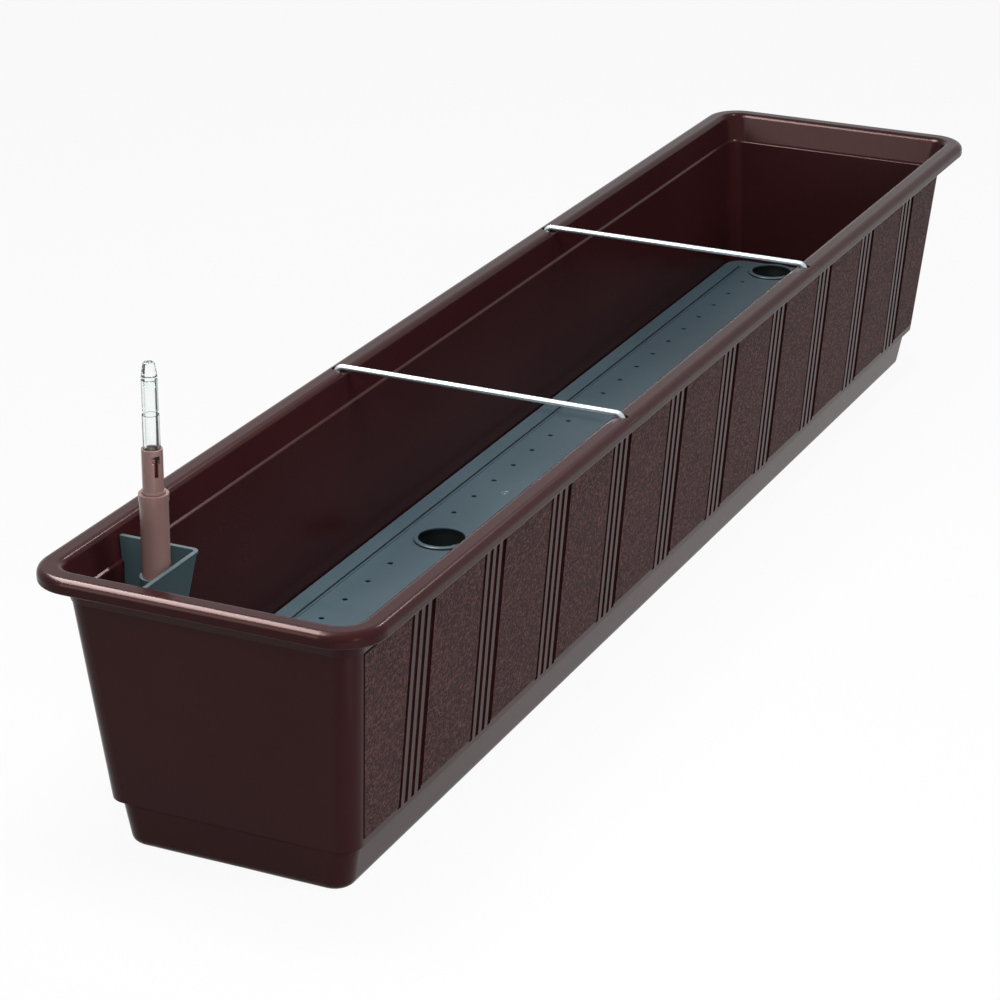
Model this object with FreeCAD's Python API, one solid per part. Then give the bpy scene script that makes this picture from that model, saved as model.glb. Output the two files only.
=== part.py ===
"""Self-watering window box: a long plastic trough with a perforated false floor.

Frame: X runs along the trough, the filling end at -X. Y runs across it. Z is up.
The origin is the middle of the base, on the surface that the trough stands on.
All sizes are in millimetres.
"""
import FreeCAD, Part
import math
import os

V = FreeCAD.Vector

# ---------------------------------------------------------------- trough
rim_length = 1000.0           # over the rim's skirt
rim_width = 203.0             # the same across
box_height = 171.0
rim_corner_radius = 26.0
rim_band = 13.4               # top of the rim, from the skirt to the inner face
wall = 2.5                    # moulded wall, everywhere unless named otherwise
skirt_height = 8.6
skirt_wall = 2.2
skirt_foot_round = 1.2
rim_outer_round = 4.5
rim_inner_round = 4.0
rim_wall_height = 20.0        # from the rim's top down to the foot of its ledge
side_ledge = 4.8              # the long walls lie this far inside the rim's mouth
end_ledge = 7.1               # the same for the end walls
ledge_lean = 0.7              # share of that reach that the rim's inner face leans in
ledge_drop = 1.0              # the rest is a sloping ledge, this high
ledge_edge_round = 1.0
rim_flare_height = 12.4       # band below the skirt that leans out to the rim
rim_flare_proud = 0.6         # the band's foot stands out from the walls by this
side_draft = 0.081            # how much the long walls lean in, per unit of height
end_draft = 0.128
wall_corner_radius = 12.0
bottom_wall = 3.0

plinth_height = 28.0
plinth_inset = 3.5
plinth_side_draft = 0.18
plinth_end_draft = 0.08
plinth_round = 5.0

# ------------------------------------------------- relief of the long walls
flute_pitch = 89.0            # groups of flutes, with a panel between each two
flutes_per_group = 4
flute_width = 4.0
flute_rib = 4.0               # rib left between two flutes of a group
flute_depth = 0.9
panel_proud = 0.5             # grained panels stand out from the wall by this
panel_foot = 33.0             # height of the panels' lower edge
flute_foot = 31.0
panel_end_margin = 12.5       # from the end wall to the first panel
panel_least = 6.0             # narrowest panel left at either end

# ---------------------------------------------------------------- wire braces
brace_offset = 155.0          # each brace from the middle of the trough
wire_diameter = 3.5
brace_bend_radius = 5.0
brace_leg_drop = 12.0         # leg below the wire's straight run
brace_leg_inset = 6.7         # leg's axis in from the rim's outer edge
brace_hole_clearance = 0.3    # round the leg
brace_seat_depth = 2.0        # how far the wire lies in the rim
brace_seat_margin = 1.2       # round the wire's bend, in its seat
brace_seat_mouth = 12.0       # width of the seat where it opens to the inside
brace_pad_width = 16.0
brace_pad_height = 6.0
brace_seat_gap = 1.8          # wire above the floor of its seat

# ---------------------------------------------------------------- false floor
floor_top = 60.0
floor_thickness = 2.5
floor_gap = 1.0               # round the edge of the false floor
floor_corner_ease = 4.5       # its corners are this much rounder than the trough's
drain_pitch = 29.8
drain_end_margin = 10.0       # from the last possible hole to the floor's end
drain_diameter = 3.6
drain_row_inset = 27.7        # from the floor's long edge
groove_inset = 12.3           # from the same edge
groove_width = 1.6
groove_depth = 1.0
line_width = 1.3              # raised line each side of the groove
line_height = 0.5
leg_radius = 5.0
leg_bore_radius = 3.2
leg_row_inset = 52.7          # from the floor's long edge
leg_pitch = 150.0
leg_end_margin = 30.0
leg_gap = 0.3                 # legs above the bottom of the trough

# ---------------------------------------------------------------- soil cups
cup_row_inset = 39.7          # from the false floor's long edge
cup_inner_x = 132.0           # cups of the inner pair, from the middle
cup_end_inset = 19.0          # cups of the outer pair, from its end
cup_mouth_radius = 14.8
cup_wall = 1.2
cup_fit = 0.2                 # cup in its hole in the false floor
cup_lip_overhang = 1.4        # lip beyond the edge of the hole
cup_lip_height = 1.6
cup_lip_round = 0.9
cup_foot_radius = 8.5         # outside, at the cup's closed foot
cup_foot_gap = 2.0
cup_slots = 4
cup_slot_width = 3.0
cup_slot_height = 18.0

# ---------------------------------------------------------------- filling shaft
shaft_below_rim = 6.0
shaft_length = 65.6           # from the rim's inner face to the back panel's outer face
shaft_width = 50.6            # the same across, to the side panel's outer face
shaft_wall = 2.0
shaft_flare_height = 30.0     # the upper part of both panels leans out
shaft_flare = 4.5
shaft_edge_gap = 0.8          # panels' free edges to the trough
shaft_lip = 0.5               # bead along the panels' top edge
shaft_lip_height = 1.5
shaft_corner_round = 2.0      # inside, where the two panels meet
shaft_hole_margin = 3.0       # false floor left round the opening in the shaft

# ---------------------------------------------------------------- level gauge
riser_radius = 5.75           # brown sleeve that slides in the gauge tube
riser_wall = 0.9
riser_length = 108.0
riser_visible = 25.2          # above the collar when pushed right in
stop_ring_proud = 0.7         # ring on the sleeve that sits on the tube
stop_ring_height = 1.4
running_gap = 0.3             # between the sleeve and the mouth of the tube
key_slot_width = 2.2
key_slot_length = 12.0
key_slot_head = 4.2
key_slot_top_drop = 3.0
key_slot_bearing = 232.0      # degrees round from +X

tube_bore_gap = 1.0           # between the sleeve and the tube below its mouth
tube_wall = 1.1
tube_above_rim = 29.6
tube_foot_gap = 4.0
tube_foot_wall = 1.5
tube_back_gap = 1.95          # from the shaft's back panel
tube_side_gap = 3.15          # from its side panel
collar_proud = 0.4
collar_height = 4.0
collar_lip_height = 0.8       # thin inward lip at the mouth of the tube
tube_slot_width = 3.0
tube_slot_height = 24.0
guide_fit = 0.05
guide_wall = 1.3              # of the ring round the tube
guide_ring_height = 4.0
guide_ring_drop = 12.0        # below the shaft's top
guide_web = 2.5

sight_plug_depth = 6.0        # clear tube pushed into the sleeve
sight_plug_fit = 0.05
sight_shoulder = 0.2          # clear tube's lower part, smaller than the sleeve's bore
sight_upper_step = 0.25       # its upper part, smaller than its lower part
sight_neck_step = 0.7         # neck between them, smaller than the lower part
sight_wall = 0.8
sight_lower_length = 19.0
sight_neck_length = 2.4
sight_cap_length = 9.8
sight_cap_waist = 1.05        # depth of the waist under the dome
sight_cap_waist_length = 1.6
sight_cap_plug = 4.0
sight_cap_taper = 1.3         # dome narrower at its top
sight_cap_round = 1.4

float_gap = 1.2               # float in the bore of the tube
float_length = 30.0
float_round = 1.3
float_foot_gap = 0.3          # float above the foot of the gauge tube
float_travel = 40.0           # from an empty box to a full one
float_headroom = 1.4          # left above the pointer when the box is full
rod_radius = 1.2
rod_seat = 3.0
pointer_gap = 0.8             # pointer in the clear tube
pointer_length = 12.0
pointer_round = 1.0
pointer_below_sight = 1.0     # pointer's top below the clear tube, box empty

# ---------------------------------------------------------------- worked out
lap = 0.6                     # how far fused pieces reach into each other
round_share = 0.9             # most of a wall that its rounding may take
rim_inner_x = rim_length / 2 - rim_band
rim_inner_y = rim_width / 2 - rim_band
rim_inner_corner = rim_corner_radius - rim_band
ledge_z = box_height - rim_wall_height
ledge_top = ledge_z + ledge_drop
brace_leg_y = rim_width / 2 - brace_leg_inset
brace_run_z = box_height - brace_seat_depth + brace_seat_gap + wire_diameter / 2
skirt_foot = box_height - skirt_height
wall_inner_corner = wall_corner_radius - wall
floor_under = floor_top - floor_thickness
floor_corner_radius = wall_inner_corner + floor_corner_ease
cup_outer_radius = cup_mouth_radius + cup_wall
cup_hole_radius = cup_outer_radius + cup_fit
cup_lip_radius = cup_hole_radius + cup_lip_overhang
shaft_top = box_height - shaft_below_rim
shaft_knee = shaft_top - shaft_flare_height
shaft_inner_x = -(rim_inner_x - shaft_length + shaft_wall + shaft_flare)
shaft_inner_y = rim_inner_y - shaft_width + shaft_wall + shaft_flare
tube_bore = riser_radius + tube_bore_gap
tube_radius = tube_bore + tube_wall
gauge_x = shaft_inner_x - tube_back_gap - tube_radius
gauge_y = shaft_inner_y + tube_side_gap + tube_radius
tube_foot = bottom_wall + tube_foot_gap
tube_top = box_height + tube_above_rim
guide_ring_top = shaft_top - guide_ring_drop
riser_top = tube_top + riser_visible
riser_bore = riser_radius - riser_wall
sight_lower_radius = riser_bore - sight_shoulder
sight_upper_radius = sight_lower_radius - sight_upper_step
sight_neck_radius = sight_lower_radius - sight_neck_step
sight_bore = sight_neck_radius - sight_wall
sight_foot = riser_top - sight_plug_depth
pointer_top = sight_foot - pointer_below_sight
sight_top = pointer_top + float_travel + float_headroom + sight_cap_plug
float_foot = tube_foot + tube_foot_wall + float_foot_gap
float_top = float_foot + float_length


def wall_half(z):
    """Outer half length and half width of the trough above its plinth."""
    drop = ledge_z - z
    return (rim_inner_x - end_ledge + wall - end_draft * drop,
            rim_inner_y - side_ledge + wall - side_draft * drop)


def mouth_half(z):
    """Half length and half width inside the rim, above its ledge."""
    share = ledge_lean * (box_height - z) / (box_height - ledge_top)
    return rim_inner_x - end_ledge * share, rim_inner_y - side_ledge * share


def plinth_half(z):
    """Outer half length and half width of the plinth."""
    top_x, top_y = wall_half(plinth_height)
    drop = plinth_height - z
    return (top_x - plinth_inset - plinth_end_draft * drop,
            top_y - plinth_inset - plinth_side_draft * drop)


# ---------------------------------------------------------------- helpers
def corner_arc(centre, radius, quarter):
    """Start, middle and end of a quarter circle, counted in quarters round from +X."""
    turns = [(quarter + part) * math.pi / 2 for part in (0, 0.5, 1)]
    return [centre + V(radius * math.cos(turn), radius * math.sin(turn), 0)
            for turn in turns]


def rounded_wire(half_x, half_y, radius, z):
    """Closed rounded rectangle about the Z axis, at height z."""
    edges = []
    arcs = []
    for quarter, (side_x, side_y) in enumerate(((1, 1), (-1, 1), (-1, -1), (1, -1))):
        centre = V(side_x * (half_x - radius), side_y * (half_y - radius), z)
        arcs.append(corner_arc(centre, radius, quarter))
    for index, points in enumerate(arcs):
        following = arcs[(index + 1) % 4]
        edges.append(Part.Arc(*points).toShape())
        edges.append(Part.makeLine(points[2], following[0]))
    return Part.Wire(edges)


def rounded_prism(half_x, half_y, radius, z_low, z_high):
    face = Part.Face(rounded_wire(half_x, half_y, radius, z_low))
    return face.extrude(V(0, 0, z_high - z_low))


def tapered(low, high, radius, z_low, z_high, high_radius=None):
    """Solid between two rounded rectangles, each given as its two half sizes."""
    return Part.makeLoft([rounded_wire(low[0], low[1], radius, z_low),
                          rounded_wire(high[0], high[1], high_radius or radius, z_high)],
                         True, True)


def grown(half_sizes, by):
    return half_sizes[0] + by, half_sizes[1] + by


def cylinder(radius, x, y, z_low, z_high):
    return Part.makeCylinder(radius, z_high - z_low, V(x, y, z_low))


def cone(low_radius, high_radius, x, y, z_low, z_high):
    return Part.makeCone(low_radius, high_radius, z_high - z_low, V(x, y, z_low))


def gauge_cylinder(radius, z_low, z_high):
    return cylinder(radius, gauge_x, gauge_y, z_low, z_high)


def box(x_low, x_high, y_low, y_high, z_low, z_high):
    return Part.makeBox(x_high - x_low, y_high - y_low, z_high - z_low,
                        V(x_low, y_low, z_low))


def fuse(shapes):
    return shapes[0].multiFuse(shapes[1:]).removeSplitter()


def level_edges(shape, z, inside=None):
    """Edges that lie at height z, all of them or those within a half size in X."""
    found = []
    for edge in shape.Edges:
        bounds = edge.BoundBox
        flat = abs(bounds.ZMin - z) < 1e-6 and abs(bounds.ZMax - z) < 1e-6
        near = inside is None or (max(abs(bounds.XMin), abs(bounds.XMax)) < inside[0]
                                  and max(abs(bounds.YMin), abs(bounds.YMax)) < inside[1])
        if flat and near:
            found.append(edge)
    return found


def slab_on_wall(x_low, x_high, z_low, z_high, out_by, in_by, side):
    """Slab along a long wall, from out_by outside its face to in_by inside it."""
    profile = []
    for z, reach in ((z_low, -in_by), (z_low, out_by), (z_high, out_by), (z_high, -in_by)):
        profile.append(V(x_low, side * (wall_half(z)[1] + reach), z))
    face = Part.Face(Part.makePolygon(profile + profile[:1]))
    return face.extrude(V(x_high - x_low, 0, 0))


# ---------------------------------------------------------------- trough
def trough_shell():
    plinth_top = plinth_half(plinth_height)
    foot = tapered(plinth_half(0), plinth_top, wall_corner_radius, 0, plinth_height + lap)
    foot = foot.makeFillet(plinth_round, level_edges(foot, 0))
    flare_foot = skirt_foot - rim_flare_height
    body = tapered(wall_half(plinth_height), wall_half(flare_foot), wall_corner_radius,
                   plinth_height, flare_foot)
    upper_corner = rim_inner_corner + skirt_wall
    flare = tapered(grown(wall_half(flare_foot), rim_flare_proud),
                    grown(mouth_half(skirt_foot), skirt_wall),
                    wall_corner_radius + rim_flare_proud, flare_foot, skirt_foot,
                    upper_corner)
    rim_wall_top = box_height - lap
    rim_wall = tapered(grown(mouth_half(skirt_foot), skirt_wall),
                       grown(mouth_half(rim_wall_top), skirt_wall),
                       upper_corner, skirt_foot, rim_wall_top)
    flange = rounded_prism(rim_length / 2, rim_width / 2, rim_corner_radius,
                           skirt_foot, box_height)
    flange = flange.makeFillet(rim_outer_round, level_edges(flange, box_height))
    flange = flange.makeFillet(skirt_foot_round, level_edges(flange, skirt_foot))
    under_rim = rounded_prism(rim_length / 2 - skirt_wall, rim_width / 2 - skirt_wall,
                              rim_corner_radius - skirt_wall, skirt_foot - lap,
                              box_height - wall)
    flange = flange.cut(under_rim)
    return fuse([foot, body, flare, rim_wall, flange] + brace_pads())


def trough_hollow():
    low_x, low_y = plinth_half(bottom_wall)
    step_z = plinth_height + wall
    top_x, top_y = plinth_half(step_z)
    foot = tapered((low_x - wall, low_y - wall), (top_x - wall, top_y - wall),
                   wall_inner_corner, bottom_wall, step_z)
    low_x, low_y = wall_half(step_z - lap)
    top_x, top_y = wall_half(ledge_z)
    body = tapered((low_x - wall, low_y - wall), (top_x - wall, top_y - wall),
                   wall_inner_corner, step_z - lap, ledge_z)
    upper_foot = body.common(box(-rim_length, rim_length, -rim_width, rim_width,
                                 step_z, box_height))
    return [foot, upper_foot] + rim_mouth(0, box_height + lap)


def rim_mouth(gap, z_high):
    """Space inside the rim, smaller all round by gap: its ledge and its leaning faces."""
    ledge = tapered(grown(inner_half(ledge_z), -gap), grown(mouth_half(ledge_top), -gap),
                    wall_inner_corner, ledge_z, ledge_top, rim_inner_corner)
    faces = tapered(grown(mouth_half(ledge_top), -gap), grown(mouth_half(z_high), -gap),
                    rim_inner_corner, ledge_top, z_high)
    return [ledge, faces]


def panels_reach(z):
    """Half length of the row of panels, whose ends lean out with the end walls."""
    return wall_half(z)[0] - panel_end_margin


def panel_field():
    """Space that the panels are trimmed to at their ends."""
    outlines = []
    for z in (panel_foot, ledge_z):
        reach = panels_reach(z)
        corners = [V(-reach, -rim_width, z), V(reach, -rim_width, z),
                   V(reach, rim_width, z), V(-reach, rim_width, z)]
        outlines.append(Part.makePolygon(corners + corners[:1]))
    return Part.makeLoft(outlines, True, True)


def flute_centres():
    room = 2 * (panels_reach(panel_foot) - panel_least) - group_width()
    groups = int(room / flute_pitch) + 1
    first = -flute_pitch * (groups - 1) / 2
    return [first + flute_pitch * index for index in range(groups)]


def group_width():
    return flutes_per_group * flute_width + (flutes_per_group - 1) * flute_rib


def panel_spans():
    """Low and high X of each grained panel on a long wall."""
    half = group_width() / 2
    edges = [-panels_reach(ledge_z)]
    for centre in flute_centres():
        edges += [centre - half, centre + half]
    edges.append(panels_reach(ledge_z))
    return list(zip(edges[0::2], edges[1::2]))


def wall_relief():
    panels, flutes = [], []
    top = ledge_z - wall
    field = panel_field()
    for side in (-1, 1):
        for low, high in panel_spans():
            panel = slab_on_wall(low, high, panel_foot, top, panel_proud, lap, side)
            panels.append(panel.common(field))
        for centre in flute_centres():
            for index in range(flutes_per_group):
                low = centre - group_width() / 2 + index * (flute_width + flute_rib)
                flutes.append(slab_on_wall(low, low + flute_width, flute_foot, top - lap,
                                           panel_proud + lap, flute_depth, side))
    return panels, flutes


def brace_pads():
    """Solid blocks under the rim that the brace legs pass through."""
    pads = []
    for x in (-brace_offset, brace_offset):
        for side in (-1, 1):
            low, high = sorted((side * (rim_inner_y + lap), side * (rim_width / 2 - lap)))
            pads.append(box(x - brace_pad_width / 2, x + brace_pad_width / 2, low, high,
                            box_height - wall - brace_pad_height, box_height - wall + lap))
    return pads


def brace_seats():
    """Seats in the rim that widen to the inside, with a hole and a bend slot for each leg."""
    cuts = []
    seat_radius = wire_diameter / 2 + brace_seat_margin
    seat_mouth = brace_seat_mouth / 2
    seat_z = box_height - brace_seat_depth
    hole_radius = wire_diameter / 2 + brace_hole_clearance
    bend_z = brace_run_z - brace_bend_radius
    inner_bend = brace_bend_radius - wire_diameter / 2
    bend_reach = brace_bend_radius - math.sqrt(inner_bend ** 2 - (seat_z - bend_z) ** 2)
    slot_y = brace_leg_y - bend_reach - 2 * brace_hole_clearance
    for x in (-brace_offset, brace_offset):
        for side in (-1, 1):
            leg_y = side * brace_leg_y
            cuts.append(cylinder(hole_radius, x, leg_y, skirt_foot - lap, box_height))
            cuts.append(cylinder(seat_radius, x, leg_y, seat_z, box_height + lap))
            mouth_y = side * (rim_inner_y - wall)
            outline = [V(x - seat_radius, leg_y, seat_z), V(x + seat_radius, leg_y, seat_z),
                       V(x + seat_mouth, mouth_y, seat_z), V(x - seat_mouth, mouth_y, seat_z)]
            seat = Part.Face(Part.makePolygon(outline + outline[:1]))
            cuts.append(seat.extrude(V(0, 0, brace_seat_depth + lap)))
            low, high = sorted((side * slot_y, leg_y))
            cuts.append(box(x - hole_radius, x + hole_radius, low, high,
                            bend_z, box_height))
    return cuts


def make_planter_box():
    panels, flutes = wall_relief()
    shell = trough_shell().multiFuse(panels)
    shell = shell.cut(Part.makeCompound(flutes))
    for hollow in trough_hollow():
        shell = shell.cut(hollow)
    inside = (rim_inner_x + lap, rim_inner_y + lap)
    shell = shell.makeFillet(min(rim_inner_round, round_share * (wall + skirt_wall)),
                             level_edges(shell, box_height, inside))
    shell = shell.makeFillet(ledge_edge_round, level_edges(shell, ledge_z, inside))
    for seat in brace_seats():
        shell = shell.cut(seat)
    return shell.removeSplitter()


# ---------------------------------------------------------------- wire braces
def make_brace(x):
    """Straight wire across the trough, both ends turned down into the rim."""
    run_z = brace_run_z
    leg_y = brace_leg_y
    bend = brace_bend_radius
    foot_z = run_z - brace_leg_drop
    corner = bend * (1 - math.cos(math.radians(45)))
    path = Part.Wire([
        Part.makeLine(V(x, -leg_y, foot_z), V(x, -leg_y, run_z - bend)),
        Part.Arc(V(x, -leg_y, run_z - bend), V(x, -leg_y + corner, run_z - corner),
                 V(x, -leg_y + bend, run_z)).toShape(),
        Part.makeLine(V(x, -leg_y + bend, run_z), V(x, leg_y - bend, run_z)),
        Part.Arc(V(x, leg_y - bend, run_z), V(x, leg_y - corner, run_z - corner),
                 V(x, leg_y, run_z - bend)).toShape(),
        Part.makeLine(V(x, leg_y, run_z - bend), V(x, leg_y, foot_z))])
    section = Part.Wire(Part.makeCircle(wire_diameter / 2, V(x, -leg_y, foot_z), V(0, 0, 1)))
    return path.makePipeShell([section], True, False)


# ---------------------------------------------------------------- false floor
def inner_half(z):
    outer_x, outer_y = wall_half(z)
    return outer_x - wall, outer_y - wall


def floor_half():
    """Half length and half width of the false floor."""
    half_x, half_y = inner_half(floor_under)
    return half_x - floor_gap, half_y - floor_gap


def cup_places():
    """The cups stand staggered: the pattern is the same turned end for end."""
    half_x, half_y = floor_half()
    outer_x = half_x - cup_end_inset
    row_y = half_y - cup_row_inset
    return ((-cup_inner_x, row_y), (outer_x, row_y),
            (cup_inner_x, -row_y), (-outer_x, -row_y))


def clear_of_cups(x, y, radius):
    return all(math.hypot(x - cup_x, y - cup_y) > cup_lip_radius + 2 * radius
               for cup_x, cup_y in cup_places())


def drain_places():
    half_x, half_y = floor_half()
    columns = int((half_x - drain_end_margin) / drain_pitch)
    places = []
    for side in (-1, 1):
        y = side * (half_y - drain_row_inset)
        for column in range(-columns, columns + 1):
            x = column * drain_pitch
            in_shaft = side > 0 and x < shaft_inner_x + shaft_flare + 2 * shaft_wall
            if clear_of_cups(x, y, drain_diameter / 2) and not in_shaft:
                places.append((x, y))
    return places


def leg_places():
    half_x, half_y = floor_half()
    columns = int((half_x - leg_end_margin) / leg_pitch + 0.5)
    places = []
    for side in (-1, 1):
        y = side * (half_y - leg_row_inset)
        for column in range(-columns, columns):
            x = (column + 0.5) * leg_pitch
            if clear_of_cups(x, y, leg_radius):
                places.append((x, y))
    return places


def groove_and_lines(side):
    """Groove along one long edge of the false floor, and the raised lines beside it."""
    half_x, half_y = floor_half()
    end = half_x - floor_corner_radius
    start = -end
    if side > 0:
        start = shaft_inner_x + shaft_flare + 2 * shaft_wall
    middle = side * (half_y - groove_inset)
    lines = []
    for edge in (-1, 1):
        offset = middle + edge * (groove_width + line_width) / 2
        lines.append(box(start, end, offset - line_width / 2, offset + line_width / 2,
                         floor_top - lap, floor_top + line_height))
    groove = box(start, end, middle - groove_width / 2, middle + groove_width / 2,
                 floor_top - groove_depth, floor_top + line_height + lap)
    return lines, groove


def make_false_floor():
    half_x, half_y = floor_half()
    added = [rounded_prism(half_x, half_y, floor_corner_radius, floor_under, floor_top)]
    cuts = []
    for side in (-1, 1):
        lines, groove = groove_and_lines(side)
        added += lines
        cuts.append(groove)
    leg_foot = bottom_wall + leg_gap
    for x, y in leg_places():
        added.append(cylinder(leg_radius, x, y, leg_foot, floor_under + lap))
        cuts.append(cylinder(leg_bore_radius, x, y, leg_foot - lap, floor_under))
    for x, y in drain_places():
        cuts.append(cylinder(drain_diameter / 2, x, y, floor_under - lap, floor_top + lap))
    for x, y in cup_places():
        cuts.append(cylinder(cup_hole_radius, x, y, floor_under - lap, floor_top + lap))
    cuts.append(box(-half_x + shaft_hole_margin, shaft_inner_x, shaft_inner_y,
                    half_y - shaft_hole_margin, floor_under - lap, floor_top + lap))
    return fuse(added).cut(Part.makeCompound(cuts)).removeSplitter()


# ---------------------------------------------------------------- soil cups
def make_cup(x, y):
    """Conical cup that hangs in the false floor by its lip, slotted near its foot."""
    foot_z = bottom_wall + cup_foot_gap
    lip_top = floor_top + cup_lip_height
    outer = fuse([cone(cup_foot_radius, cup_outer_radius, x, y, foot_z, floor_under),
                  cylinder(cup_outer_radius, x, y, floor_under, lip_top),
                  cylinder(cup_lip_radius, x, y, floor_top, lip_top)])
    inner = fuse([cone(cup_foot_radius - cup_wall, cup_mouth_radius, x, y,
                       foot_z + cup_wall, floor_under),
                  cylinder(cup_mouth_radius, x, y, floor_under, lip_top + lap)])
    cup = outer.cut(inner)
    slot_foot = foot_z + 2 * cup_wall
    slots = []
    for index in range(cup_slots):
        slot = box(x, x + cup_outer_radius, y - cup_slot_width / 2, y + cup_slot_width / 2,
                   slot_foot, slot_foot + cup_slot_height)
        slot.rotate(V(x, y, 0), V(0, 0, 1), (index + 0.5) * 360 / cup_slots)
        slots.append(slot)
    cup = cup.cut(Part.makeCompound(slots))
    top_edges = [edge for edge in level_edges(cup, lip_top)
                 if edge.BoundBox.XLength > 2 * cup_mouth_radius + cup_wall]
    return cup.makeFillet(min(cup_lip_round, round_share * cup_lip_height), top_edges)


# ---------------------------------------------------------------- filling shaft
def shaft_envelope():
    """Space that the two panels are trimmed to: inside the trough, round the corner."""
    gap = shaft_edge_gap
    body = tapered(grown(inner_half(floor_top), -gap), grown(inner_half(ledge_z), -gap),
                   wall_inner_corner, floor_top, ledge_z)
    return fuse([body] + rim_mouth(gap, box_height))


def shaft_outline(grow, radius, z):
    """Outline of the shaft's corner of the trough, its inside size larger by grow."""
    panel_x = shaft_inner_x + grow
    panel_y = shaft_inner_y - grow
    arc = corner_arc(V(panel_x - radius, panel_y + radius, z), radius, 3)
    corners = [arc[2], V(panel_x, rim_inner_y, z), V(-rim_inner_x, rim_inner_y, z),
               V(-rim_inner_x, panel_y, z), arc[0]]
    return Part.Wire([Part.Arc(*arc).toShape()] + Part.makePolygon(corners).Edges)


def shaft_corner(grow):
    """Corner of the trough that the shaft takes up, with its flare, larger by grow."""
    radius = shaft_corner_round + grow
    levels = ((floor_top, 0), (shaft_knee, 0), (shaft_top, shaft_flare))
    outlines = [shaft_outline(grow + flare, radius, z) for z, flare in levels]
    return fuse([Part.makeLoft(outlines[:2], True, True),
                 Part.makeLoft(outlines[1:], True, True)])


def guide_ring_webs():
    """Two webs from the guide ring to the shaft's panels."""
    ring_low = guide_ring_top - guide_ring_height
    half = guide_web / 2
    webs = [box(gauge_x, shaft_inner_x + shaft_flare, gauge_y - half, gauge_y + half,
                ring_low, guide_ring_top),
            box(gauge_x - half, gauge_x + half, shaft_inner_y - shaft_flare, gauge_y,
                ring_low, guide_ring_top)]
    return [web.common(shaft_corner(lap)) for web in webs]


def make_filler_shaft():
    walls = shaft_corner(shaft_wall).cut(shaft_corner(0))
    lip_grow = shaft_wall + shaft_lip
    lip = Part.Face(shaft_outline(lip_grow + shaft_flare, shaft_corner_round + lip_grow,
                                  shaft_top - shaft_lip_height))
    lip = lip.extrude(V(0, 0, shaft_lip_height)).cut(shaft_corner(0))
    panels = fuse([walls, lip]).common(shaft_envelope())
    ring_low = guide_ring_top - guide_ring_height
    ring = gauge_cylinder(tube_radius + guide_fit + guide_wall, ring_low, guide_ring_top)
    shaft = fuse([panels, ring] + guide_ring_webs())
    return shaft.cut(gauge_cylinder(tube_radius + guide_fit, ring_low - lap,
                                    guide_ring_top + lap))


# ---------------------------------------------------------------- level gauge
def make_gauge_tube():
    collar_low = tube_top - collar_height
    mouth_radius = riser_radius + running_gap
    tube = fuse([gauge_cylinder(tube_radius, tube_foot, tube_top),
                 gauge_cylinder(tube_radius + collar_proud, collar_low, tube_top)])
    bore_low = tube_foot + tube_foot_wall
    tube = tube.cut(gauge_cylinder(tube_bore, bore_low, tube_top - collar_lip_height))
    tube = tube.cut(gauge_cylinder(mouth_radius, collar_low, tube_top + lap))
    reach = tube_radius + lap
    slot_low = bore_low + tube_foot_wall
    slots = []
    for bearing in (45, 135):
        slot = box(gauge_x - reach, gauge_x + reach, gauge_y - tube_slot_width / 2,
                   gauge_y + tube_slot_width / 2, slot_low, slot_low + tube_slot_height)
        slot.rotate(V(gauge_x, gauge_y, 0), V(0, 0, 1), bearing)
        slots.append(slot)
    return tube.cut(Part.makeCompound(slots))


def make_riser():
    """Brown sleeve that slides in the tube and carries the clear sight tube."""
    low = riser_top - riser_length
    stop_low = tube_top + running_gap
    sleeve = fuse([gauge_cylinder(riser_radius, low, riser_top),
                   gauge_cylinder(riser_radius + stop_ring_proud, stop_low,
                                  stop_low + stop_ring_height)])
    sleeve = sleeve.cut(gauge_cylinder(riser_bore, low - lap, riser_top + lap))
    slot_top = riser_top - key_slot_top_drop
    reach = riser_radius + lap
    slot = box(0, reach, -key_slot_width / 2, key_slot_width / 2,
               slot_top - key_slot_length, slot_top)
    head = box(0, reach, -key_slot_head / 2, key_slot_head / 2,
               slot_top - key_slot_head, slot_top)
    keyhole = slot.fuse(head)
    keyhole.rotate(V(0, 0, 0), V(0, 0, 1), key_slot_bearing)
    keyhole.translate(V(gauge_x, gauge_y, 0))
    return sleeve.cut(keyhole)


def make_sight_tube():
    neck_low = riser_top + sight_lower_length
    neck_high = neck_low + sight_neck_length
    tube = fuse([gauge_cylinder(riser_bore - sight_plug_fit, sight_foot, riser_top),
                 gauge_cylinder(sight_lower_radius, riser_top, neck_low),
                 gauge_cylinder(sight_neck_radius, neck_low, neck_high),
                 gauge_cylinder(sight_upper_radius, neck_high, sight_top)])
    return tube.cut(gauge_cylinder(sight_bore, sight_foot - lap, sight_top + lap))


def make_sight_cap():
    """Clear domed tip, plugged into the sight tube, with a waist below the dome."""
    waist_top = sight_top + sight_cap_waist_length
    cap_top = sight_top + sight_cap_length
    plug = gauge_cylinder(sight_bore - sight_plug_fit, sight_top - sight_cap_plug, sight_top)
    waist = gauge_cylinder(sight_upper_radius - sight_cap_waist, sight_top, waist_top)
    dome = cone(sight_upper_radius, sight_upper_radius - sight_cap_taper, gauge_x, gauge_y,
                waist_top, cap_top)
    dome = dome.makeFillet(sight_cap_round, level_edges(dome, cap_top))
    return fuse([plug, waist, dome])


def make_float():
    body = gauge_cylinder(tube_bore - float_gap, float_foot, float_top)
    body = body.makeFillet(float_round, level_edges(body, float_foot)
                           + level_edges(body, float_top))
    return body.cut(gauge_cylinder(rod_radius, float_top - rod_seat, float_top + lap))


def make_float_rod():
    return gauge_cylinder(rod_radius, float_top - rod_seat,
                          pointer_top - pointer_length + rod_seat)


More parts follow.
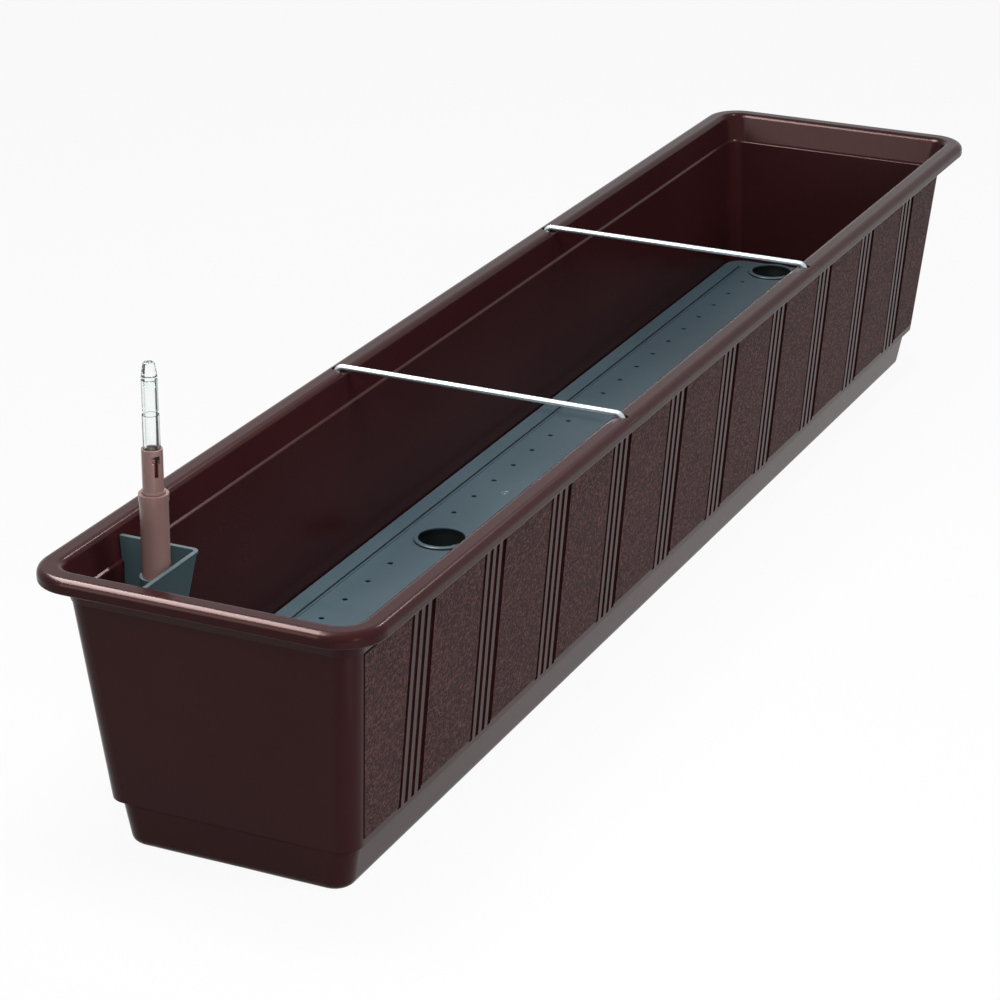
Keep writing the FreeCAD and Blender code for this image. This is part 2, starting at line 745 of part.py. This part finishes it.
def make_pointer():
    low = pointer_top - pointer_length
    body = gauge_cylinder(sight_bore - pointer_gap, low, pointer_top)
    body = body.makeFillet(pointer_round, level_edges(body, pointer_top))
    return body.cut(gauge_cylinder(rod_radius, low - lap, low + rod_seat))


# ---------------------------------------------------------------- write the parts
def save(name, shape):
    solids = shape.Solids
    whole = solids[0] if len(solids) == 1 else Part.makeCompound(solids)
    whole.exportStep("parts/" + name + ".step")
    bounds = whole.optimalBoundingBox()
    size = "%.1f x %.1f x %.1f" % (bounds.XLength, bounds.YLength, bounds.ZLength)
    print(name, "solids", len(solids), "valid", whole.isValid(),
          "volume %.0f" % whole.Volume, "size", size)


def main():
    os.makedirs("parts", exist_ok=True)
    save("planter_box", make_planter_box())
    save("brace_near", make_brace(-brace_offset))
    save("brace_far", make_brace(brace_offset))
    save("false_floor", make_false_floor())
    for index, (x, y) in enumerate(cup_places()):
        save("soil_cup_%d" % (index + 1), make_cup(x, y))
    save("filler_shaft", make_filler_shaft())
    save("gauge_tube", make_gauge_tube())
    save("gauge_riser", make_riser())
    save("sight_tube", make_sight_tube())
    save("sight_cap", make_sight_cap())
    save("float", make_float())
    save("float_rod", make_float_rod())
    save("float_pointer", make_pointer())


main()
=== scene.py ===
# %% [markdown]
# # A self-watering window box
# The object is a long moulded trough with two wire braces across it. Inside it stands a
# perforated false floor, and a filling shaft with a water level gauge takes up one corner.
# Every solid piece arrives ready-made from the construction model, in metres, with its
# origin in the middle of the base. This lesson gives the pieces their finish, adds one
# small moulded mark, and sets up the light and the camera.

# %% Load the construction model
import math

import bpy
from mathutils import Matrix, Vector


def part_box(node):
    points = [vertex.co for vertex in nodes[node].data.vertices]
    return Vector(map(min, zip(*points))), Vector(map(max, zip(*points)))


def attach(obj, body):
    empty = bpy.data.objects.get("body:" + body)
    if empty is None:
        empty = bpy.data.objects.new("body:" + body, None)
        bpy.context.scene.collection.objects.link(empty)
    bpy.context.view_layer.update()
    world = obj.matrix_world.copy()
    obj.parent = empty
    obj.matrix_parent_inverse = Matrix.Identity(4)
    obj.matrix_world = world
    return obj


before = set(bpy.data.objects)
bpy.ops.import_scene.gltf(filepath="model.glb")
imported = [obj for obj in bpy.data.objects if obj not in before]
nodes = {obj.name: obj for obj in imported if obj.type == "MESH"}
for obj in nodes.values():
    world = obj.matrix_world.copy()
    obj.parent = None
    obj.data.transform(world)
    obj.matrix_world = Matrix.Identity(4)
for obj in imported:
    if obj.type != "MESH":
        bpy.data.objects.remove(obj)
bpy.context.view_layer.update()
print("pieces:", sorted(nodes))

# %% [markdown]
# ## The camera
# The photograph was taken from above the filling end, with a long lens. A camera can be
# aimed with a constraint, but then its roll is hard to set. Here its three directions are
# worked out from a heading, a dip and a roll, and put into one matrix.

# %% Place the camera
camera_place = Vector((-1.79967, -0.77843, 0.85205))
camera_heading = math.radians(24.872)      # from +X towards +Y
camera_dip = math.radians(22.517)
camera_roll = math.radians(0.299)
sensor_width = 36.0
focal_length = 117.10
centre_shift = (-0.0008, 0.0054)

ahead = Vector((math.cos(camera_heading) * math.cos(camera_dip),
                math.sin(camera_heading) * math.cos(camera_dip), -math.sin(camera_dip)))
level_right = Vector((math.sin(camera_heading), -math.cos(camera_heading), 0))
level_up = level_right.cross(ahead)
right = level_right * math.cos(camera_roll) + level_up * math.sin(camera_roll)
up = level_up * math.cos(camera_roll) - level_right * math.sin(camera_roll)

lens = bpy.data.cameras.new("camera")
lens.lens = focal_length
lens.sensor_width = sensor_width
lens.sensor_fit = "HORIZONTAL"
lens.shift_x, lens.shift_y = centre_shift
lens.clip_end = 50
camera = bpy.data.objects.new("camera", lens)
camera.matrix_world = Matrix((
    (right.x, up.x, -ahead.x, camera_place.x),
    (right.y, up.y, -ahead.y, camera_place.y),
    (right.z, up.z, -ahead.z, camera_place.z),
    (0, 0, 0, 1)))
bpy.context.scene.collection.objects.link(camera)
bpy.context.scene.camera = camera
print("camera looks along", [round(part, 3) for part in ahead])

# %% [markdown]
# ## A short way to write materials
# A material is a graph of nodes. Wiring each node by hand takes four lines, and a formula
# such as 1 - mask is hard to read back. So one class, Field, wraps a node's output and turns
# Python arithmetic into Math nodes. Everything else comes from one method, Finish.node.

# %% Fields: node outputs that can be added and multiplied
class Field:
    """One output of a node. Arithmetic on it adds Math nodes to the same material."""

    def __init__(self, finish, socket):
        self.finish = finish
        self.socket = socket

    def math(self, operation, *others):
        return self.finish.node("ShaderNodeMath", {"operation": operation},
                                dict(enumerate((self,) + others)))

    def __add__(self, other):
        return self.math("ADD", other)

    def __mul__(self, other):
        return self.math("MULTIPLY", other)

    def __sub__(self, other):
        return self.math("SUBTRACT", other)

    def __rsub__(self, other):
        return self.finish.node("ShaderNodeMath", {"operation": "SUBTRACT"},
                                {0: other, 1: self})

    def __gt__(self, other):
        return self.math("GREATER_THAN", other)

    def __lt__(self, other):
        return self.math("LESS_THAN", other)

    __radd__ = __add__
    __rmul__ = __mul__

    def ramp(self, low, high):
        """0 where the field is at low, 1 where it is at high, smooth between."""
        return self.finish.node("ShaderNodeMapRange", {"interpolation_type": "SMOOTHSTEP"},
                                {"Value": self, "From Min": low, "From Max": high})


# %% Finishes: materials built from nodes
def fill_socket(tree, socket, value):
    if isinstance(value, Field):
        tree.links.new(value.socket, socket)
    elif isinstance(value, (tuple, list)) and len(value) == 3 and socket.type == "RGBA":
        socket.default_value = (*value, 1)
    else:
        socket.default_value = value


class Finish:
    """A material, or the world, under construction."""

    def __init__(self, owner):
        owner.use_nodes = True
        self.material = owner
        self.tree = owner.node_tree
        self.tree.nodes.clear()

    def node(self, kind, settings=None, inputs=None, output=0):
        """Add a node, apply its settings, fill its sockets, and return one output."""
        made = self.tree.nodes.new(kind)
        for key, value in (settings or {}).items():
            setattr(made, key, value)
        for key, value in (inputs or {}).items():
            fill_socket(self.tree, made.inputs[key], value)
        return Field(self, made.outputs[output])

    def mix_colour(self, factor, first, second):
        """Blend two colours; a factor of 0 gives the first."""
        return self.node("ShaderNodeMix", {"data_type": "RGBA"},
                         {0: factor, 6: first, 7: second}, output=2)

    def place(self, axis):
        """Position along one axis, in metres, fixed to the piece."""
        if not hasattr(self, "spot"):
            self.spot = self.node("ShaderNodeTexCoord", output="Object")
        return self.part_of(self.spot, axis)

    def part_of(self, vector, axis):
        """X, Y or Z of a vector, counted from 0."""
        return self.node("ShaderNodeSeparateXYZ", None, {0: vector}, axis)

    def noise(self, scale, detail=2.0, stretch=(1, 1, 1), output=0):
        """Cloudy pattern between 0 and 1, scale in features per metre."""
        self.place(0)
        spot = self.node("ShaderNodeVectorMath", {"operation": "MULTIPLY"},
                         {0: self.spot, 1: stretch})
        return self.node("ShaderNodeTexNoise", None,
                         {"Vector": spot, "Scale": scale, "Detail": detail}, output)

    def bump(self, height, distance, strength):
        return self.node("ShaderNodeBump", None,
                         {"Height": height, "Distance": distance, "Strength": strength})

    def surface(self, **inputs):
        """End in a Principled shader; an underscore in a name stands for a space."""
        named = {key.replace("_", " "): value for key, value in inputs.items()}
        self.end_in(self.node("ShaderNodeBsdfPrincipled", None, named))
        return self.material

    def end_in(self, shader, kind="ShaderNodeOutputMaterial"):
        end = self.tree.nodes.new(kind)
        self.tree.links.new(shader.socket, end.inputs["Surface"])


def new_finish(name):
    return Finish(bpy.data.materials.new(name))


print("helpers ready: Field, Finish")

# %% [markdown]
# ## Brown moulded plastic
# The trough is one moulding in dark brown plastic. Its ends, its rim and its inside are
# smooth and satin, and the long outer sides carry panels with a fine leather-like grain.
# The panels are real steps in the model. The grain is far finer than a millimetre, so a
# bump is the right tool for it, limited to the panels by a mask: they face outwards and
# stand out from the leaning wall behind them. On the grain the colour also carries painted
# light: in patches its tops are painted pale, as painted glints, and its hollows deeper brown.

# %% Sizes that the grain follows
brown = (0.0185, 0.0042, 0.0049)
brown_light = (0.0275, 0.0074, 0.0080)
grain_dark = (0.013, 0.0035, 0.0041)
grain_glint_colour = (0.115, 0.047, 0.044)
panel_foot = 0.033
panel_head = 0.1485
wall_lean = 0.081             # of the long walls, per unit of height
panel_face = 0.07382          # the panels' face lies beyond this plus the lean
grain_size = 720.0            # cells per metre
grain_warp = (0.0022, 0.0022, 0.0022)
grain_height = 1.6            # against the bloom of the smooth plastic, 0.1
grain_share = 0.78            # how far the grain's colours cover the brown
grain_roughness = 0.35        # added on the panels
warm_reflection = (1, 0.7, 0.66)
box_low, box_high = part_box("planter_box")
print("trough from", [round(v, 4) for v in box_low], "to", [round(v, 4) for v in box_high])


# %% The trough's finish
def panel_mask(finish):
    """1 on the outer faces of the panels, 0 elsewhere."""
    normal = finish.node("ShaderNodeNewGeometry", output="Normal")
    normal_y = finish.part_of(normal, 1)
    y, z = finish.place(1), finish.place(2)
    outward = normal_y * y.math("SIGN")
    return ((outward > 0.9) * (y.math("ABSOLUTE") - z * wall_lean > panel_face)
            * (z > panel_foot) * (z < panel_head))


def brown_plastic(name, first, second, grained, rough, shine):
    """Satin plastic between two browns, with the panels' grain where it is asked for."""
    finish = new_finish(name)
    mottle = finish.noise(9.0)
    bloom = finish.noise(160.0, 3.0)
    colour = finish.mix_colour(mottle, first, second)
    roughness = rough + bloom * 0.06
    height = bloom * 0.1
    if grained:
        mask = panel_mask(finish)
        warped = finish.node("ShaderNodeVectorMath", {"operation": "MULTIPLY_ADD"},
                             {0: finish.noise(grain_size, 2.0, output=1),
                              1: grain_warp, 2: finish.spot})
        cells = finish.node("ShaderNodeTexVoronoi", {"feature": "F1"},
                            {"Vector": warped, "Scale": grain_size})
        fine = finish.noise(grain_size * 1.3, 3.0)
        grain = (cells * 0.8 + fine * 0.6).ramp(0.35, 0.85)
        height = height + grain * mask * grain_height
        cloud = finish.noise(grain_size * 0.9, 4.0, (0.5, 1, 1)).ramp(0.4, 0.66)
        # Painted highlight and shade on the grain: pale on its tops, deeper brown in its
        # hollows.
        grain_painted_light = finish.mix_colour(cloud * grain * 0.9, grain_dark, grain_glint_colour)
        colour = finish.mix_colour(mask * grain_share, colour, grain_painted_light)
        roughness = roughness + mask * grain_roughness
    return finish.surface(Base_Color=colour, Roughness=roughness, Specular_IOR_Level=shine,
                          Specular_Tint=warm_reflection,
                          Normal=finish.bump(height, 0.0006, 0.7))


trough_finish = brown_plastic("brown_plastic", brown, brown_light, True, 0.2, 0.1)
gauge_finish = brown_plastic("gauge_brown", (0.16, 0.09, 0.082), (0.22, 0.145, 0.13),
                             False, 0.16, 0.5)
print("made", trough_finish.name, "and", gauge_finish.name)

# %% [markdown]
# ## Blue-grey plastic
# The false floor, the cups and the filling shaft have a satin blue-grey plastic, a little
# blotchy. The shaft is painted darkest, as painted shade for its deep inside. The drain holes
# and the cups' insides lie in deep shade, and that shade is painted: the colour itself turns
# near black just below the floor's face and the cups' lips.

# %% Finishes of the false floor, the cups and the shaft
blue_grey = (0.045, 0.072, 0.089)
blue_grey_light = (0.063, 0.096, 0.115)
# Painted shade: the shaft's greys are darker than the floor's, for the shade in the shaft's
# deep inside.
shaded_shaft_grey = (0.020, 0.036, 0.042)
shaded_shaft_grey_light = (0.034, 0.058, 0.066)
# Painted shade for the drain holes and the cups' insides: below these heights the colour turns
# near black.
painted_hole_shade = (0.004, 0.006, 0.006)
floor_face = 0.0597           # the colour is near black below these heights
cup_lip = 0.0612
painted_shade_fade = 0.0006


def blue_grey_plastic(name, first, second, painted_shade_below=None):
    """Where a height is given, the colour below it turns near black: painted shade."""
    finish = new_finish(name)
    flow = finish.noise(14.0, 3.0, (0.35, 1, 1))
    speck = finish.noise(900.0, 2.0)
    colour = finish.mix_colour(flow.ramp(0.3, 0.7), first, second)
    # Painted shade: near black below the given height.
    if painted_shade_below:
        painted_shade = 1 - finish.place(2).ramp(painted_shade_below - painted_shade_fade, painted_shade_below)
        colour = finish.mix_colour(painted_shade, colour, painted_hole_shade)
    return finish.surface(Base_Color=colour, Roughness=0.34 + speck * 0.1,
                          Specular_IOR_Level=0.4,
                          Normal=finish.bump(speck, 0.0003, 0.3))


floor_finish = blue_grey_plastic("blue_grey_plastic", blue_grey, blue_grey_light, floor_face)
cup_finish = blue_grey_plastic("blue_grey_cups", blue_grey, blue_grey_light, cup_lip)
shaft_finish = blue_grey_plastic("blue_grey_shaft_shaded", shaded_shaft_grey, shaded_shaft_grey_light)
print("made", floor_finish.name + ",", cup_finish.name, "and", shaft_finish.name)

# %% [markdown]
# ## Zinc-plated wire and clear plastic
# The braces are drawn steel wire with a bright zinc coat, so they are metallic and streaked
# along their length. The sight tube is clear. Where a clear wall is seen on its edge, light
# passes through more of it, so it looks darker and greener there: that darkening is painted
# shade in the colour, made from the facing value of the Layer Weight node.

# %% Wire, clear plastic, float and pointer
def zinc_wire():
    finish = new_finish("galvanised_wire")
    streaks = finish.noise(420.0, 3.0, (1, 0.06, 1))
    colour = finish.mix_colour(streaks, (0.25, 0.30, 0.33), (0.46, 0.52, 0.54))
    return finish.surface(Base_Color=colour, Metallic=0.7, Roughness=0.3 + streaks * 0.14,
                          Normal=finish.bump(streaks, 0.0002, 0.3))


def clear_plastic():
    finish = new_finish("clear_plastic")
    haze = finish.noise(300.0, 2.0)
    # Painted shade: the colour turns darker and greener where the wall is seen edge-on.
    edge = finish.node("ShaderNodeLayerWeight", None, {"Blend": 0.5}, "Facing")
    colour = finish.mix_colour(edge.ramp(0.3, 0.9), (0.94, 0.97, 0.96), (0.12, 0.19, 0.17))
    return finish.surface(Base_Color=colour, Roughness=0.03 + haze * 0.03,
                          IOR=1.3, Transmission_Weight=1.0,
                          Normal=finish.bump(haze, 0.0002, 0.15))


def plain_plastic(name, first, second):
    finish = new_finish(name)
    blotch = finish.noise(120.0, 3.0)
    return finish.surface(Base_Color=finish.mix_colour(blotch, first, second),
                          Roughness=0.45 + blotch * 0.1,
                          Normal=finish.bump(blotch, 0.0002, 0.3))


wire_finish = zinc_wire()
clear_finish = clear_plastic()
float_finish = plain_plastic("float_plastic", (0.7, 0.7, 0.67), (0.8, 0.8, 0.77))
# The pointer is red; its red is painted very deep, as painted shade for where it sits inside
# the gauge.
pointer_finish = plain_plastic("pointer_red", (0.09, 0.006, 0.005), (0.12, 0.01, 0.008))
print("finishes:", len(bpy.data.materials))

# %% Give each piece its finish
finish_of = {"planter_box": trough_finish, "false_floor": floor_finish,
             "filler_shaft": shaft_finish, "gauge_tube": gauge_finish,
             "gauge_riser": gauge_finish, "sight_tube": clear_finish,
             "sight_cap": clear_finish, "float": float_finish, "float_rod": float_finish,
             "float_pointer": pointer_finish, "brace_near": wire_finish,
             "brace_far": wire_finish}
for name, node in nodes.items():
    material = finish_of.get(name, cup_finish)
    node.data.materials.clear()
    node.data.materials.append(material)
print("dressed", len(nodes), "pieces")

# %% [markdown]
# ## The gate mark on the false floor
# The photo shows a pale dot on the false floor, taken here for the mark where the melt
# entered the mould: a small ring with a pip in it. It is turned from a profile, which is
# pairs of radius and height swept round an axis.

# %% A mark turned from a profile
def turned(name, profile, place, steps=32):
    """Sweep pairs of radius and height round an upright axis, and close the top."""
    mesh = bpy.data.meshes.new(name)
    corners, faces = [], []
    for radius, height in profile:
        for step in range(steps):
            turn = 2 * math.pi * step / steps
            corners.append((place[0] + radius * math.cos(turn),
                            place[1] + radius * math.sin(turn), place[2] + height))
    for level in range(len(profile) - 1):
        for step in range(steps):
            following = (step + 1) % steps
            low, high = level * steps, (level + 1) * steps
            faces.append((low + step, low + following, high + following, high + step))
    faces.append(tuple((len(profile) - 1) * steps + step for step in range(steps)))
    mesh.from_pydata(corners, [], faces)
    mesh.polygons.foreach_set("use_smooth", [True] * len(faces))
    made = bpy.data.objects.new(name, mesh)
    bpy.context.scene.collection.objects.link(made)
    return made


gate_ring = ((0.0034, -0.0002), (0.0034, 0.0002), (0.0031, 0.0004), (0.0028, 0.0002),
             (0.0026, 0.00005), (0.0010, 0.00005), (0.0008, 0.0005), (0.0004, 0.0006))
gate_place = (-0.047, 0.031, 0.060)
gate_mark = turned("gate_mark", gate_ring, gate_place)
gate_mark.data.materials.append(floor_finish)
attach(gate_mark, "insert")
print("gate mark at", gate_place)

# %% [markdown]
# ## Light and floor
# A small key lamp high above the far half makes the braces' thin shadows. A long soft lamp
# high beyond the back wall draws the light line along the rim's rounded shoulder. A weaker
# lamp on the left is meant for the rim's inner face at the far end, and two smaller ones for
# the near corner and the gauge. These four only show as highlights, which a real lamp can't
# do. Seen from azimuth 30, the long one leaves a pale sheen on the false floor. Three more
# light the inside, the end and the grained side without highlights. The white background is
# also there for rays that are mirrored or pass through plastic.

# %% Lamps
def lamp(name, place, target, size, watts, lights=True, mirrored=True):
    """A soft lamp. It can light things without being mirrored, or the other way round."""
    light = bpy.data.lights.new(name, "AREA")
    light.shape = "RECTANGLE"
    light.size, light.size_y = size
    light.energy = watts
    made = bpy.data.objects.new(name, light)
    made.location = place
    made.rotation_euler = (Vector(target) - Vector(place)).to_track_quat("-Z", "Y").to_euler()
    made.visible_diffuse = lights
    made.visible_glossy = mirrored
    made.visible_camera = False
    bpy.context.scene.collection.objects.link(made)


box_middle = (0, 0, 0.1)
lamp("key_lamp", (0.58, -0.2, 1.03), box_middle, (0.05, 0.05), 3.6)
lamp("sky_lamp", (-0.4, 0.05, 0.8), (-0.35, 0, 0.1), (0.35, 0.35), 6.0, mirrored=False)
lamp("fill_lamp", (-1.6, -0.6, 1.0), (-0.5, 0, 0.1), (0.4, 0.4), 14.0, mirrored=False)
lamp("shoulder_lamp", (-0.5, 0.75, 1.4), (-0.3, 0, 0.1), (1.4, 0.6), 150.0, lights=False)
lamp("left_lamp", (-1.8, 0.8, 0.75), (0.4, 0, 0.15), (0.5, 0.9), 12.0, lights=False)
lamp("front_lamp", (-0.2, -1.7, 1.1), box_middle, (0.5, 0.5), 20.0, mirrored=False)
lamp("corner_lamp", (-0.75, -0.42, 0.02), (-0.75, -0.42, 1), (0.5, 0.5), 0.6, lights=False)
lamp("gauge_lamp", (-1.1, -1.16, 0.4), (-0.46, 0.05, 0.2), (0.18, 0.5), 3.0, lights=False)
print("lamps:", len(bpy.data.lights))


# %% World and floor
def ray_is(finish, *kinds):
    """1 where the ray is of one of these kinds, 0 elsewhere."""
    path = finish.node("ShaderNodeLightPath").socket.node
    rays = [Field(finish, path.outputs["Is %s Ray" % kind]) for kind in kinds]
    found = rays[0]
    for ray in rays[1:]:
        found = found.math("MAXIMUM", ray)
    return found


background_rays = ("Camera", "Glossy", "Transmission")
room_light = 0.2              # what the room sheds on the object
paper_glow = 0.93             # share of the floor that is plain white for those rays
paper_grey = (0.6, 0.6, 0.6)
white = (1, 1, 1)
world = bpy.data.worlds.new("studio")
bpy.context.scene.world = world
room = Finish(world)
room.end_in(room.node("ShaderNodeBackground", None,
                      {"Color": white,
                       "Strength": room_light
                       + ray_is(room, *background_rays) * (1 - room_light)}),
            "ShaderNodeOutputWorld")

floor_reach = 14.0
floor_mesh = bpy.data.meshes.new("studio_floor")
floor_mesh.from_pydata([(-floor_reach, -floor_reach, 0), (floor_reach, -floor_reach, 0),
                        (floor_reach, floor_reach, 0), (-floor_reach, floor_reach, 0)],
                       [], [(0, 1, 2, 3)])
studio_floor = bpy.data.objects.new("studio_floor", floor_mesh)
bpy.context.scene.collection.objects.link(studio_floor)
paper = new_finish("studio_paper")
matt = paper.node("ShaderNodeBsdfDiffuse", None, {"Color": paper_grey})
bright = paper.node("ShaderNodeEmission", None, {"Color": white, "Strength": 1.0})
paper.end_in(paper.node("ShaderNodeMixShader", None,
                        {0: ray_is(paper, *background_rays) * paper_glow, 1: matt, 2: bright}))
floor_mesh.materials.append(paper.material)
bpy.context.scene.view_settings.view_transform = "Standard"
print("floor reaches", floor_reach, "m each way")
